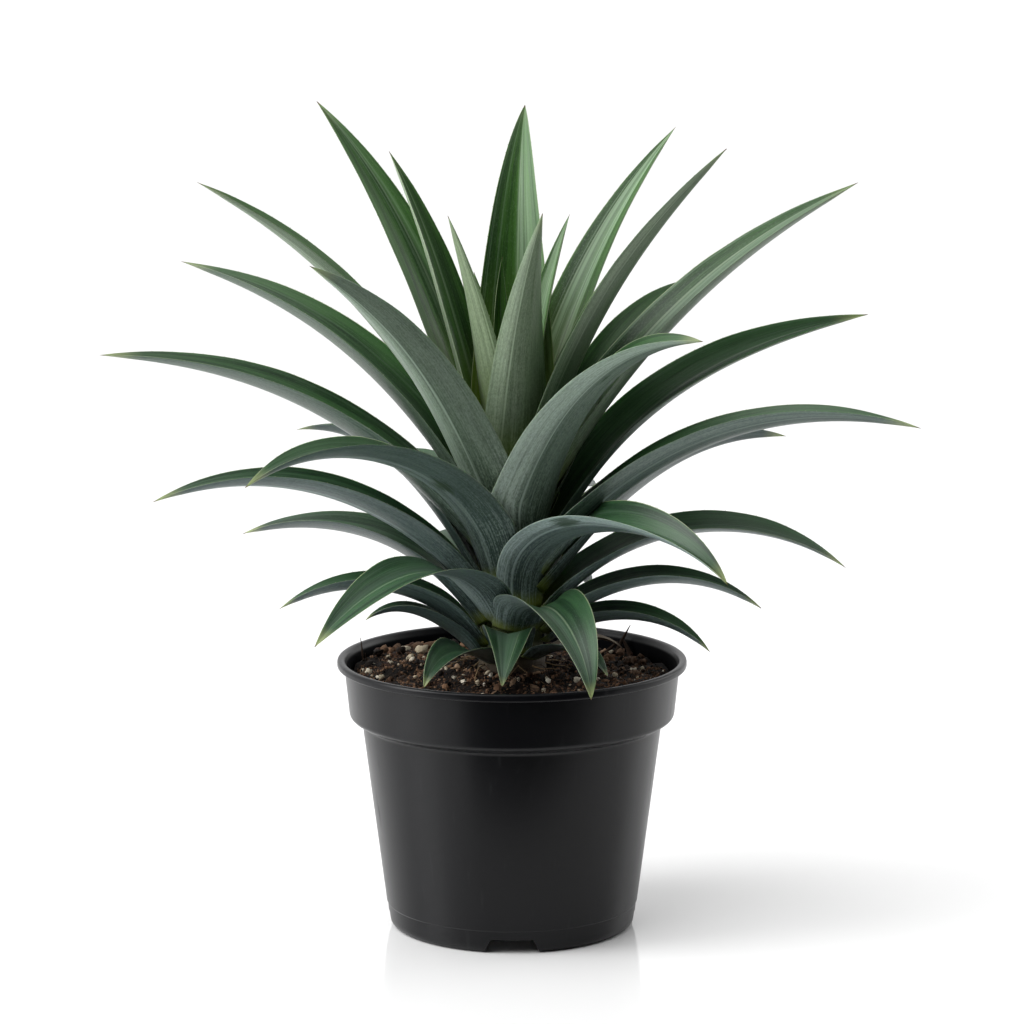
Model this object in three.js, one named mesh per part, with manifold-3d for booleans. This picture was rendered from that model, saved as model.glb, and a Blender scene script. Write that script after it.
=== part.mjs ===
// Potted pineapple plant: a rosette of channelled leaves on a short stem, in a round black nursery pot.
// Millimetres, +Z up. The origin is on the pot's axis, on the floor, and -Y is the front.
import * as THREE from 'three';
import { mergeVertices } from 'three/addons/utils/BufferGeometryUtils.js';
import Module from 'manifold-3d';

const wasm = await Module();
wasm.setup();

// Driving dimensions of the pot
const POT_HEIGHT = 132;
const LIP_RADIUS = 85;
const LIP_THICKNESS = 4;
const BAND_TOP_RADIUS = 81.5;
const BAND_BOTTOM_RADIUS = 79;
const BAND_BOTTOM_Z = 105;
const SHOULDER_Z = 101;
const WALL_TOP_RADIUS = 73;
const SEAM_Z = 11;
const SEAM_RADIUS = 62;
const SEAM_STEP = 0.5;
const FOOT_RADIUS = 60;
const FOOT_ROUNDING = 3.5;
const FOOT_RING_WIDTH = 4;
const FLOOR_UNDERSIDE_Z = 7.6;
const WALL = 1.8;
const POT_SIDES = 48;
const NOTCH_COUNT = 4;
const NOTCH_TOP_WIDTH = 20;
const NOTCH_BOTTOM_WIDTH = 27;
const NOTCH_HEIGHT = 7;
const DRAIN_HOLE_RADIUS = 5;
const DRAIN_CIRCLE_RADIUS = 38;

// Driving dimensions of the soil
const GAP = 0.35;
const SOIL_LEVEL = 122.5;
const SOIL_MOUND = 5.5;
const SOIL_MOUND_SPREAD = 15;
const SOIL_HEAP = 4;
const SOIL_HEAP_SPREAD = 26;
const SOIL_HEAP_X = -52;
const SOIL_HEAP_Y = 26;
const SOIL_LUMP = 1.1;
const SOIL_RING_RADII = [72, 63, 54, 45, 37, 30, 24];
const SOIL_SIDES = 40;
const STEM_HOLE_BOTTOM_Z = 104;

// Driving dimensions of the stem, a cone that every leaf grows from
const STEM_BOTTOM_Z = 105;
const STEM_BOTTOM_RADIUS = 14;
const STEM_FOOT_Z = 128;
const STEM_COLLAR = 6;
const STEM_FOOT_RADIUS = 17;
const STEM_TOP_Z = 232;
const STEM_TOP_RADIUS = 3;
const STEM_SIDES = 20;

// Driving dimensions that all leaves share
const KEEL_THICKNESS = 1.5;
const EDGE_THICKNESS = 0.7;
const TIP_WIDTH = 0.8;
const ROOT_CLEARANCE = 0.6;

// How the keel curves: its handles at the root and the tip, as shares of the straight span
const ROOT_HANDLE = 0.42;
const TIP_HANDLE = 0.36;
const TWIST_START = 0.15;

// How a blade changes from root to tip, as shares of its length, its width and its fold
const CLASP_ROOM = 2;
const LARGEST_WRAP = 1.25;
const ROOT_WIDTH_SHARE = 0.85;
const FULL_WIDTH_AT = 0.2;
const FULLY_OPEN_AT = 0.28;
const TAPER_POWER = 0.95;
const TAPER_SCALE = 1.08;
const CREASE_SHARE = 0.3;
const CREASE_GAIN = 0.35;
const CURL_SHARE = 0.7;
const TIP_THINNING = 0.5;

// Where the blade's mesh has its points, along it and across it
const LONG_LEAF_STATIONS = [0, 0.07, 0.15, 0.25, 0.37, 0.49, 0.61, 0.73, 0.84, 0.94, 1];
const SHORT_LEAF_STATIONS = [0, 0.11, 0.24, 0.4, 0.56, 0.72, 0.87, 1];
const SHORT_LEAF_LENGTH = 95;
const ACROSS = [-1, -0.5, 0, 0.5, 1];

// One row for each leaf, from the lowest root to the highest, in millimetres and degrees:
// compass facing, root height, tip reach from the axis, tip height, slope at the root,
// slope at the tip, blade width, fold of the channel, twist towards the tip
const LEAF_ROWS = [
  [241, 132, 85, 133, 24, -54, 28, 30, -24],
  [312, 134, 68, 133, 30, -46, 22, 29, -2],
  [195, 134, 73, 154, 45, -32, 26, 34, 2],
  [100, 136, 80, 150, 48, -50, 30, 36, 0],
  [266, 137, 68, 132, 90, -58, 26, 27, -25],
  [188, 138, 113, 159, 53, -27, 34, 40, 0],
  [356, 140, 96, 136, 32, -42, 28, 42, 14],
  [59, 141, 78, 153, 46, -45, 32, 36, -4],
  [0, 144, 121, 156, 41, -33, 33, 36, 7],
  [120, 146, 96, 170, 52, -40, 36, 39, 0],
  [293, 147, 94, 130, 68, -75, 40, 34, 0],
  [168, 147, 135, 188, 55, -15, 44, 33, -5],
  [6, 150, 164, 173, 53, -35, 39, 29, 20],
  [232, 151, 146, 161, 60, -34, 35, 25, -26],
  [80, 152, 116, 186, 54, -30, 35, 38, 0],
  [189, 157, 173, 213, 53, -18, 38, 44, -10],
  [319, 158, 132, 184, 98, -45, 44, 46, 23],
  [63, 160, 94, 202, 55, -19, 38, 34, -6],
  [25, 162, 151, 231, 46, -6, 43, 42, -21],
  [128, 164, 102, 218, 58, -18, 38, 38, 0],
  [160, 166, 113, 238, 54, -10, 34, 43, 4],
  [218, 168, 155, 231, 78, -27, 46, 39, -4],
  [351, 170, 196, 249, 53, -10, 45, 41, 3],
  [20, 172, 188, 292, 65, 9, 41, 36, 32],
  [105, 174, 120, 242, 60, -10, 42, 38, 0],
  [180, 178, 198, 280, 52, 4, 46, 38, -10],
  [326, 182, 107, 294, 75, 5, 60, 40, 16],
  [70, 182, 122, 266, 62, -5, 42, 38, 0],
  [160, 190, 174, 319, 58, 16, 45, 45, -11],
  [226, 190, 132, 333, 63, 30, 43, 39, 24],
  [41, 190, 126, 308, 55, 9, 38, 37, 8],
  [112, 192, 112, 292, 66, 10, 42, 38, 0],
  [15, 197, 175, 359, 58, 28, 46, 39, 14],
  [82, 204, 92, 318, 72, 30, 40, 36, 0],
  [189, 205, 150, 365, 60, 30, 42, 34, -10],
  [359, 206, 102, 379, 74, 48, 44, 40, -7],
  [285, 207, 55, 353, 80, 61, 36, 38, 20],
  [144, 208, 119, 397, 65, 44, 38, 29, -25],
  [158, 210, 64, 376, 70, 64, 40, 35, -9],
  [49, 214, 125, 383, 69, 39, 33, 31, 0],
  [85, 218, 74, 395, 70, 37, 47, 41, -9],
  [215, 222, 37, 349, 76, 72, 31, 28, -12],
  [35, 222, 34, 346, 81, 68, 24, 35, 7],
  [122, 226, 35, 317, 84, 68, 16, 35, 0],
  [110, 230, 14, 326, 82, 106, 17, 42, -2],
];

// The dry old leaf at the foot of the stem, in the same terms
const DRY_LEAF_ROW = [24, 133, 60, 131, 18, -40, 9, 30, 0];

// Colours, and how rough each surface is
const LEAF_LOOK = { color: 0x3f6148, roughness: 0.42, metalness: 0 };
const DRY_LEAF_LOOK = { color: 0x8a7a63, roughness: 0.8, metalness: 0 };
const STEM_LOOK = { color: 0x8f9a5c, roughness: 0.6, metalness: 0 };
const SOIL_LOOK = { color: 0x33251b, roughness: 0.95, metalness: 0 };
const POT_LOOK = { color: 0x17191b, roughness: 0.38, metalness: 0 };

function smooth(from, to, x) {
  const t = THREE.MathUtils.clamp((x - from) / (to - from), 0, 1);
  return t * t * (3 - 2 * t);
}

function bump(distance, spread) {
  return Math.exp(-((distance / spread) ** 2));
}

// Solids and meshes

function toSolid(geometry) {
  const bare = new THREE.BufferGeometry();
  bare.setAttribute('position', geometry.getAttribute('position'));
  bare.setIndex(geometry.getIndex());
  const merged = mergeVertices(bare, 1e-3);
  const mesh = new wasm.Mesh({
    numProp: 3,
    vertProperties: new Float32Array(merged.getAttribute('position').array),
    triVerts: new Uint32Array(merged.getIndex().array),
  });
  mesh.merge();
  return new wasm.Manifold(mesh);
}

function toGeometry(solid) {
  const mesh = solid.getMesh();
  const geometry = new THREE.BufferGeometry();
  geometry.setAttribute('position', new THREE.BufferAttribute(new Float32Array(mesh.vertProperties), 3));
  geometry.setIndex(new THREE.BufferAttribute(new Uint32Array(mesh.triVerts), 1));
  return geometry;
}

function largestBody(solid) {
  const bodies = solid.decompose();
  bodies.sort((a, b) => b.volume() - a.volume());
  return bodies[0];
}

function boxesMeet(a, b) {
  return [0, 1, 2].every((axis) => a.min[axis] <= b.max[axis] && b.min[axis] <= a.max[axis]);
}

function lathe(outline, sides) {
  const points = outline.map(([radius, height]) => new THREE.Vector2(radius, height));
  return new THREE.LatheGeometry(points, sides).rotateX(Math.PI / 2);
}

// Stem

function stemRadius(height) {
  const share = THREE.MathUtils.clamp((height - STEM_FOOT_Z) / (STEM_TOP_Z - STEM_FOOT_Z), 0, 1);
  return THREE.MathUtils.lerp(STEM_FOOT_RADIUS, STEM_TOP_RADIUS, share);
}

function stemShape() {
  const outline = [
    [0, STEM_BOTTOM_Z],
    [STEM_BOTTOM_RADIUS, STEM_BOTTOM_Z],
    [STEM_FOOT_RADIUS, STEM_FOOT_Z - STEM_COLLAR],
    [STEM_FOOT_RADIUS, STEM_FOOT_Z],
    [STEM_TOP_RADIUS, STEM_TOP_Z],
    [0, STEM_TOP_Z + 1],
  ];
  return lathe(outline, STEM_SIDES);
}

// Leaves

// The keel runs along a cubic curve in the leaf's own upright plane. Each station has the keel point,
// the direction along the keel, the direction across the blade and the direction of its upper face.
function keelStations([facing, root, reach, tip, rise, droop, , , twist], stations) {
  const angle = THREE.MathUtils.degToRad(facing);
  const out = new THREE.Vector3(Math.cos(angle), Math.sin(angle), 0);
  const aside = new THREE.Vector3(-Math.sin(angle), Math.cos(angle), 0);
  const place = (radius, height) => out.clone().multiplyScalar(radius).setZ(height);
  const slope = (degrees, length) => {
    const tilt = THREE.MathUtils.degToRad(degrees);
    return place(Math.cos(tilt) * length, Math.sin(tilt) * length);
  };
  const lean = (KEEL_THICKNESS / 2) * Math.sin(THREE.MathUtils.degToRad(rise));
  const start = place(stemRadius(root) + ROOT_CLEARANCE + lean, root);
  const end = place(reach, tip);
  const span = start.distanceTo(end);
  const curve = new THREE.CubicBezierCurve3(
    start,
    start.clone().add(slope(rise, span * ROOT_HANDLE)),
    end.clone().sub(slope(droop, span * TIP_HANDLE)),
    end,
  );
  const length = curve.getLength();
  return stations(length).map((u) => {
    const along = curve.getTangentAt(u);
    const across = aside.clone();
    across.applyAxisAngle(along, THREE.MathUtils.degToRad(twist) * smooth(TWIST_START, 1, u));
    return { u, point: curve.getPointAt(u), across, up: along.clone().cross(across) };
  });
}

// Half the blade, from the keel out, turns up by the crease and then curls on evenly to the edge.
// At the root the blade wraps the stem, and further out it is an open channel.
function bladeSection(u, width, fold, root, grow) {
  const clasp = stemRadius(root) + CLASP_ROOM;
  const rootWidth = Math.min(width * ROOT_WIDTH_SHARE, 2 * LARGEST_WRAP * clasp);
  const taper = TAPER_SCALE * (1 - u * u) ** TAPER_POWER;
  const widened = THREE.MathUtils.lerp(rootWidth, width * taper, smooth(0, FULL_WIDTH_AT, u));
  const breadth = Math.max(widened, TIP_WIDTH);
  const foldAngle = THREE.MathUtils.degToRad(fold);
  const opened = smooth(0, FULLY_OPEN_AT, u);
  const wrap = rootWidth / 2 / clasp;
  const crease = foldAngle * (CREASE_SHARE + CREASE_GAIN * u) * opened;
  const curl = wrap * (1 - opened) + foldAngle * CURL_SHARE * opened;
  const thicken = 1 - TIP_THINNING * u;
  return ACROSS.map((q) => {
    const share = Math.abs(q) * (1 + (2 * grow) / breadth);
    const turn = crease + curl * share;
    const radius = breadth / 2 / curl;
    const half = (EDGE_THICKNESS + (KEEL_THICKNESS - EDGE_THICKNESS) * thicken * (1 - q * q)) / 2 + grow;
    return {
      sideways: Math.sign(q) * radius * (Math.sin(turn) - Math.sin(crease)),
      upwards: radius * (Math.cos(crease) - Math.cos(turn)),
      normalSideways: q === 0 ? 0 : -Math.sign(q) * Math.sin(turn),
      normalUpwards: q === 0 ? 1 : Math.cos(turn),
      half,
    };
  });
}

function leafShape(row, grow) {
  const [, root, , , , , width, fold] = row;
  const stations = (length) => (length < SHORT_LEAF_LENGTH ? SHORT_LEAF_STATIONS : LONG_LEAF_STATIONS);
  const rings = keelStations(row, stations).map(({ u, point, across, up }) => {
    const section = bladeSection(u, width, fold, root, grow);
    const face = (sign) => section.map((p) => {
      const sideways = p.sideways + sign * p.half * p.normalSideways;
      const upwards = p.upwards + sign * p.half * p.normalUpwards;
      return point.clone().addScaledVector(across, sideways).addScaledVector(up, upwards);
    });
    return [...face(1), ...face(-1).reverse()];
  });
  const size = rings[0].length;
  const half = size / 2;
  const positions = rings.flat().flatMap((p) => [p.x, p.y, p.z]);
  const index = [];
  for (let i = 0; i + 1 < rings.length; i += 1) {
    for (let j = 0; j < size; j += 1) {
      const a = i * size + j;
      const b = i * size + ((j + 1) % size);
      // The under face mirrors the upper one, so both are split along the same diagonals
      if (j < half) index.push(a, a + size, b, b, a + size, b + size);
      else index.push(a, b + size, b, a, a + size, b + size);
    }
  }
  const last = (rings.length - 1) * size;
  for (let j = 0; j + 1 < half; j += 1) {
    const k = size - 1 - j;
    index.push(j, j + 1, k, j + 1, k - 1, k);
    index.push(last + j, last + k, last + j + 1, last + j + 1, last + k, last + k - 1);
  }
  const geometry = new THREE.BufferGeometry();
  geometry.setAttribute('position', new THREE.Float32BufferAttribute(positions, 3));
  geometry.setIndex(index);
  return geometry;
}

// The inner leaves come first. Each leaf is cut back where an inner leaf fills its place.
function leafSolids(rows) {
  const inner = [];
  for (const row of [...rows].reverse()) {
    const whole = toSolid(leafShape(row, 0));
    const crossed = inner.filter((other) => boxesMeet(whole.boundingBox(), other.solid.boundingBox())
      && whole.intersect(other.solid).volume() > 0);
    const solid = crossed.reduce((left, other) => left.subtract(other.room), whole);
    inner.push({ solid: largestBody(solid), room: toSolid(leafShape(row, GAP)) });
  }
  return inner.map(({ solid }) => solid).reverse();
}

// Soil

function soilHeight(x, y) {
  const radius = Math.hypot(x, y);
  const mound = SOIL_MOUND * bump(Math.max(radius - STEM_FOOT_RADIUS - 4, 0), SOIL_MOUND_SPREAD);
  const heap = SOIL_HEAP * bump(Math.hypot(x - SOIL_HEAP_X, y - SOIL_HEAP_Y), SOIL_HEAP_SPREAD);
  const lumps = Math.sin(x * 0.31 + 1.3) * Math.cos(y * 0.37 - 0.4) + Math.sin(x * 0.17 - y * 0.23) * 0.8;
  return SOIL_LEVEL + mound + heap + SOIL_LUMP * lumps;
}

function innerWallRadius(height) {
  const taper = (height - SEAM_Z) / (SHOULDER_Z - SEAM_Z);
  return THREE.MathUtils.lerp(SEAM_RADIUS, WALL_TOP_RADIUS, taper) - WALL;
}

function soilShape() {
  const floor = FLOOR_UNDERSIDE_Z + WALL + GAP;
  const hole = STEM_FOOT_RADIUS + GAP;
  const bandInside = BAND_BOTTOM_RADIUS - WALL - GAP;
  const rim = bandInside + 1.6;
  const surface = [rim, ...SOIL_RING_RADII, hole].map((radius) => [radius, SOIL_LEVEL]);
  const outline = [
    [0, floor],
    [innerWallRadius(SEAM_Z) - 3.4, floor],
    [innerWallRadius(SEAM_Z) - GAP, SEAM_Z + 1],
    [innerWallRadius(SHOULDER_Z) - GAP, SHOULDER_Z + 1],
    [bandInside, BAND_BOTTOM_Z + 1],
    ...surface,
    [hole, STEM_HOLE_BOTTOM_Z],
    [0, STEM_HOLE_BOTTOM_Z],
  ];
  const geometry = lathe(outline, SOIL_SIDES);
  const position = geometry.getAttribute('position');
  for (let i = 0; i < position.count; i += 1) {
    if (Math.abs(position.getZ(i) - SOIL_LEVEL) < 0.01) {
      position.setZ(i, soilHeight(position.getX(i), position.getY(i)));
    }
  }
  return geometry;
}

// Pot

function potOutline() {
  const floorTop = FLOOR_UNDERSIDE_Z + WALL;
  const bandInner = BAND_TOP_RADIUS - WALL;
  const lipBottom = POT_HEIGHT - LIP_THICKNESS;
  return [
    [0, FLOOR_UNDERSIDE_Z],
    [FOOT_RADIUS - FOOT_RING_WIDTH - FOOT_ROUNDING, FLOOR_UNDERSIDE_Z],
    [FOOT_RADIUS - FOOT_RING_WIDTH - FOOT_ROUNDING, 0],
    [FOOT_RADIUS - FOOT_ROUNDING, 0],
    [FOOT_RADIUS - FOOT_ROUNDING * 0.3, FOOT_ROUNDING * 0.3],
    [FOOT_RADIUS + 0.3, FOOT_ROUNDING],
    [SEAM_RADIUS - 1, SEAM_Z],
    [SEAM_RADIUS - 1 + SEAM_STEP, SEAM_Z + 0.6],
    [WALL_TOP_RADIUS, SHOULDER_Z],
    [BAND_BOTTOM_RADIUS - 1, BAND_BOTTOM_Z - 1],
    [BAND_BOTTOM_RADIUS, BAND_BOTTOM_Z + 0.5],
    [BAND_TOP_RADIUS, lipBottom],
    [LIP_RADIUS - 0.8, lipBottom + 1.2],
    [LIP_RADIUS, lipBottom + 2.6],
    [LIP_RADIUS - 0.7, POT_HEIGHT - 0.8],
    [LIP_RADIUS - 2.2, POT_HEIGHT],
    [BAND_TOP_RADIUS - 0.5, POT_HEIGHT - 0.7],
    [bandInner, lipBottom + 1],
    [BAND_BOTTOM_RADIUS - WALL, BAND_BOTTOM_Z + 1],
    [innerWallRadius(SHOULDER_Z), SHOULDER_Z + 1],
    [innerWallRadius(SEAM_Z), SEAM_Z + 1],
    [innerWallRadius(SEAM_Z) - 3, floorTop],
    [0, floorTop],
  ];
}

function notchShape(angle) {
  const outline = new THREE.Shape([
    new THREE.Vector2(-NOTCH_BOTTOM_WIDTH / 2, -1),
    new THREE.Vector2(NOTCH_BOTTOM_WIDTH / 2, -1),
    new THREE.Vector2(NOTCH_TOP_WIDTH / 2, NOTCH_HEIGHT),
    new THREE.Vector2(-NOTCH_TOP_WIDTH / 2, NOTCH_HEIGHT),
  ]);
  const depth = FOOT_RING_WIDTH + FOOT_ROUNDING + 8;
  const geometry = new THREE.ExtrudeGeometry(outline, { depth, bevelEnabled: false });
  geometry.rotateX(Math.PI / 2).rotateZ(Math.PI / 2);
  geometry.translate(FOOT_RADIUS - FOOT_RING_WIDTH - FOOT_ROUNDING - 4, 0, 0);
  return geometry.rotateZ(angle);
}

function drainHoleShape(angle) {
  const geometry = new THREE.CylinderGeometry(DRAIN_HOLE_RADIUS, DRAIN_HOLE_RADIUS, WALL * 4, 12);
  geometry.rotateX(Math.PI / 2).translate(DRAIN_CIRCLE_RADIUS, 0, FLOOR_UNDERSIDE_Z);
  return geometry.rotateZ(angle);
}

function potSolid() {
  let solid = toSolid(lathe(potOutline(), POT_SIDES));
  for (let i = 0; i < NOTCH_COUNT; i += 1) {
    const angle = (i / NOTCH_COUNT) * Math.PI * 2;
    solid = solid.subtract(toSolid(notchShape(angle)));
    solid = solid.subtract(toSolid(drainHoleShape(angle + Math.PI / 4)));
  }
  return solid;
}

// The plant in its pot

function piece(name, geometry, look) {
  const mesh = new THREE.Mesh(geometry, new THREE.MeshStandardMaterial(look));
  mesh.name = name;
  return mesh;
}

const plant = new THREE.Group();
plant.add(piece('pot', toGeometry(potSolid()), POT_LOOK));
plant.add(piece('soil', toGeometry(toSolid(soilShape())), SOIL_LOOK));
plant.add(piece('stem', toGeometry(toSolid(stemShape())), STEM_LOOK));
const [dryLeaf, ...leaves] = leafSolids([DRY_LEAF_ROW, ...LEAF_ROWS]);
plant.add(piece('dry_leaf', toGeometry(dryLeaf), DRY_LEAF_LOOK));
leaves.forEach((solid, i) => {
  plant.add(piece(`leaf_${String(i + 1).padStart(2, '0')}`, toGeometry(solid), LEAF_LOOK));
});

export default plant;
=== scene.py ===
import math
import random

import bpy
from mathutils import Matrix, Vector


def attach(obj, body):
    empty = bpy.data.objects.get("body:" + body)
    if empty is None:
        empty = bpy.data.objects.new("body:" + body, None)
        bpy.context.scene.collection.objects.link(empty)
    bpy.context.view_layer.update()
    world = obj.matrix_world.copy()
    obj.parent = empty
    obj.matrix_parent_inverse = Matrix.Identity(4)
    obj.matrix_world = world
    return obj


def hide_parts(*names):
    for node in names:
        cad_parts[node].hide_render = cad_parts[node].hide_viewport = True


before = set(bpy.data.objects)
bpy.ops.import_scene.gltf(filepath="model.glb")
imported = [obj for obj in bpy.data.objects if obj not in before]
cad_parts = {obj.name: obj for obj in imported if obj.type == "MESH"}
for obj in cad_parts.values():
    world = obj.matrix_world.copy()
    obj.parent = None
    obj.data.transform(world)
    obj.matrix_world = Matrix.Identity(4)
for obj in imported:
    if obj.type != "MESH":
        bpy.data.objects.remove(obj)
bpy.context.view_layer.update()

# Camera: a long lens 1.8 m in front of the pot, just above the young leaves and tipped down 10 degrees.
CAMERA_PLACE = (0, -1.783, 0.511)
CAMERA_TIP_DEG = 9.78
LENS_MM = 131.6

camera = bpy.data.objects.new("camera", bpy.data.cameras.new("camera"))
bpy.context.scene.collection.objects.link(camera)
camera.location = CAMERA_PLACE
camera.rotation_euler = (math.radians(90 - CAMERA_TIP_DEG), 0, 0)
camera.data.sensor_width = 36
camera.data.lens = LENS_MM
camera.data.clip_end = 200
bpy.context.scene.camera = camera


# Pot: one thin moulding of black polypropylene, turned from a single outline. A rolled lip stands out over
# a band, which steps in to a tapered wall, and four notches and four drain holes are cut through its foot.
POT_HEIGHT = 0.132
LIP_RADIUS = 0.085
LIP_THICKNESS = 0.0038
BAND_TOP_RADIUS = 0.0815
BAND_BOTTOM_RADIUS = 0.079
BAND_BOTTOM_Z = 0.105
SHOULDER_Z = 0.101
WALL_TOP_RADIUS = 0.073
SEAM_Z = 0.011
SEAM_RADIUS = 0.062
SEAM_STEP = 0.0005
FOOT_RADIUS = 0.06
FOOT_RING_WIDTH = 0.0075
FLOOR_UNDERSIDE_Z = 0.0076
WALL = 0.0018
POT_SIDES = 192
NOTCH_COUNT = 4
NOTCH_TOP_WIDTH = 0.02
NOTCH_BOTTOM_WIDTH = 0.027
NOTCH_HEIGHT = 0.007
NOTCH_INSET = 0.002
DRAIN_HOLE_RADIUS = 0.005
DRAIN_HOLE_SIDES = 24
DRAIN_CIRCLE_RADIUS = 0.038
CUT_LENGTH = 0.03
PLASTIC_DARK = (0.0018, 0.0019, 0.0026, 1)
PLASTIC_LIGHT = (0.0028, 0.0030, 0.0042, 1)
SCUFF_COLOUR = (0.02, 0.021, 0.022, 1)
SCUFF_SCALE = (260, 260, 14)
OUTSIDE_GLOSS = 0.22
SHADED_INSIDE_GLOSS = 0.02
SHARP_CORNER_DEG = 40
SAME_POINT = 0.000001
LONGEST_CUT_SHARE = 0.48


class Field:
    """A number or an arrow that varies over a node tree's points, so that a formula reads as one."""

    def __init__(self, tree, socket):
        self.tree = tree
        self.socket = socket

    def of(self, output):
        """Another output of the node that this one comes from."""
        return Field(self.tree, next(s for s in self.socket.node.outputs if s.enabled and s.name == output))

    def math(self, operation, *others):
        if self.socket.type == "VECTOR":
            return add(self.tree, "ShaderNodeVectorMath", (self, *others), operation=operation)
        return add(self.tree, "ShaderNodeMath", (self, *others), operation=operation)

    def __add__(self, other):
        return self.math("ADD", other)

    def __sub__(self, other):
        return self.math("SUBTRACT", other)

    def __rsub__(self, other):
        return self.math("MULTIPLY", -1).math("ADD", other)

    def __mul__(self, other):
        if self.socket.type == "VECTOR":
            return add(self.tree, "ShaderNodeVectorMath", {"Vector": self, "Scale": other}, operation="SCALE")
        return self.math("MULTIPLY", other)

    def __truediv__(self, other):
        return self.math("DIVIDE", other)

    def __rtruediv__(self, other):
        return self.math("POWER", -1).math("MULTIPLY", other)

    def __pow__(self, other):
        return self.math("POWER", other)

    def __abs__(self):
        return self.math("ABSOLUTE")

    __radd__ = __add__
    __rmul__ = __mul__


def add(tree, kind, values=(), **options):
    """Adds a node with these options, fills its inputs in order or by name, and returns its first output."""
    node = tree.nodes.new(kind)
    for option, setting in options.items():
        setattr(node, option, setting)
    sockets = [s for s in node.inputs if s.enabled]
    if isinstance(values, dict):
        pairs = [(next(s for s in sockets if s.name == name), value) for name, value in values.items()]
    else:
        pairs = zip(sockets, values)
    for socket, value in pairs:
        if isinstance(value, Field):
            tree.links.new(value.socket, socket)
        else:
            socket.default_value = value
    return Field(tree, next(s for s in node.outputs if s.enabled))


def smooth(low, high, value):
    """0 up to low, 1 from high on, and an even S between them."""
    return add(value.tree, "ShaderNodeMapRange", (value, low, high, 0, 1), interpolation_type="SMOOTHSTEP")


def ramp(low, high, value):
    """0 up to low, 1 from high on, and straight between them."""
    return add(value.tree, "ShaderNodeMapRange", (value, low, high, 0, 1))


def blend(share, first, second):
    """The first number where share is 0, and the second where it is 1."""
    return add(share.tree, "ShaderNodeMix", (share, first, second))


def sine(value):
    return value.math("SINE")


def cosine(value):
    return value.math("COSINE")


def arrow(tree, x, y, z):
    return add(tree, "ShaderNodeCombineXYZ", (x, y, z))


def length_of(value):
    return value.math("LENGTH").of("Value")


def part_of(value, axis):
    return add(value.tree, "ShaderNodeSeparateXYZ", (value,)).of(axis)


def new_tree(name, sizes):
    """A Geometry Nodes tree with these named inputs, and the inputs as fields."""
    tree = bpy.data.node_groups.new(name, "GeometryNodeTree")
    tree.is_modifier = True
    tree.interface.new_socket("Geometry", in_out="OUTPUT", socket_type="NodeSocketGeometry")
    for label, kind in sizes.items():
        tree.interface.new_socket(label, in_out="INPUT", socket_type="NodeSocket" + kind)
    source = tree.nodes.new("NodeGroupInput")
    return tree, {label: Field(tree, source.outputs[label]) for label in sizes}


def close_tree(geometry, material):
    """Ends a tree: what it made is real geometry of one material."""
    tree = geometry.tree
    real = add(tree, "GeometryNodeRealizeInstances", (geometry,))
    dressed = add(tree, "GeometryNodeSetMaterial", {"Geometry": real, "Material": material})
    end = tree.nodes.new("NodeGroupOutput")
    tree.links.new(dressed.socket, end.inputs[0])


def grow(name, tree, values, base=None):
    """Runs a tree once with these sizes, and gives the result as a plain mesh object."""
    piece = bpy.data.objects.new(name, base or bpy.data.meshes.new(name))
    bpy.context.scene.collection.objects.link(piece)
    modifier = piece.modifiers.new("Grow", "NODES")
    modifier.node_group = tree
    for item in tree.interface.items_tree:
        if item.in_out == "INPUT" and item.name in values:
            modifier[item.identifier] = values[item.name]
    depsgraph = bpy.context.evaluated_depsgraph_get()
    mesh = bpy.data.meshes.new_from_object(piece.evaluated_get(depsgraph), depsgraph=depsgraph)
    piece.modifiers.remove(modifier)
    piece.data = mesh
    return piece


def line_mesh(name, points):
    """A mesh of points joined in a row, as the outline that a turned piece is made from."""
    mesh = bpy.data.meshes.new(name)
    mesh.from_pydata(points, [(i, i + 1) for i in range(len(points) - 1)], [])
    return mesh


def rounded(corners, steps=6):
    """An outline through these corners, each (radius, height, rounding), with every corner rounded off."""
    points = []
    for i, (radius, height, rounding) in enumerate(corners):
        if rounding == 0 or i in (0, len(corners) - 1):
            points.append((radius, 0, height))
            continue
        ends = []
        for other in (corners[i - 1], corners[i + 1]):
            away = math.hypot(other[0] - radius, other[1] - height)
            cut = min(rounding, away * LONGEST_CUT_SHARE) / away
            ends.append((radius + (other[0] - radius) * cut, height + (other[1] - height) * cut))
        stops = (ends[0], (radius, height), ends[1])
        for step in range(steps + 1):
            share = step / steps
            weights = ((1 - share) ** 2, 2 * share * (1 - share), share * share)
            out, up = (sum(weight * stop[axis] for weight, stop in zip(weights, stops)) for axis in (0, 1))
            points.append((out, 0, up))
    return points


def new_material(name):
    """An empty material, and its tree with only the output node."""
    material = bpy.data.materials.new(name)
    material.use_nodes = True
    material.node_tree.nodes.clear()
    return material, material.node_tree


def finish_material(tree, **inputs):
    """A Principled surface with these inputs, joined to the output."""
    values = {name.replace("_", " "): value for name, value in inputs.items()}
    shader = add(tree, "ShaderNodeBsdfPrincipled", values)
    end = tree.nodes.new("ShaderNodeOutputMaterial")
    tree.links.new(shader.socket, end.inputs["Surface"])


def noise(tree, place, scale, detail=3.0, roughness=0.5):
    """Cloudy noise from 0 to 1 at a place."""
    values = {"Vector": place, "Scale": scale, "Detail": detail, "Roughness": roughness}
    return add(tree, "ShaderNodeTexNoise", values)


def colour_mix(share, first, second):
    return add(share.tree, "ShaderNodeMix", {"Factor": share, "A": first, "B": second}, data_type="RGBA")


def object_place(tree):
    return add(tree, "ShaderNodeTexCoord").of("Object")


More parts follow.
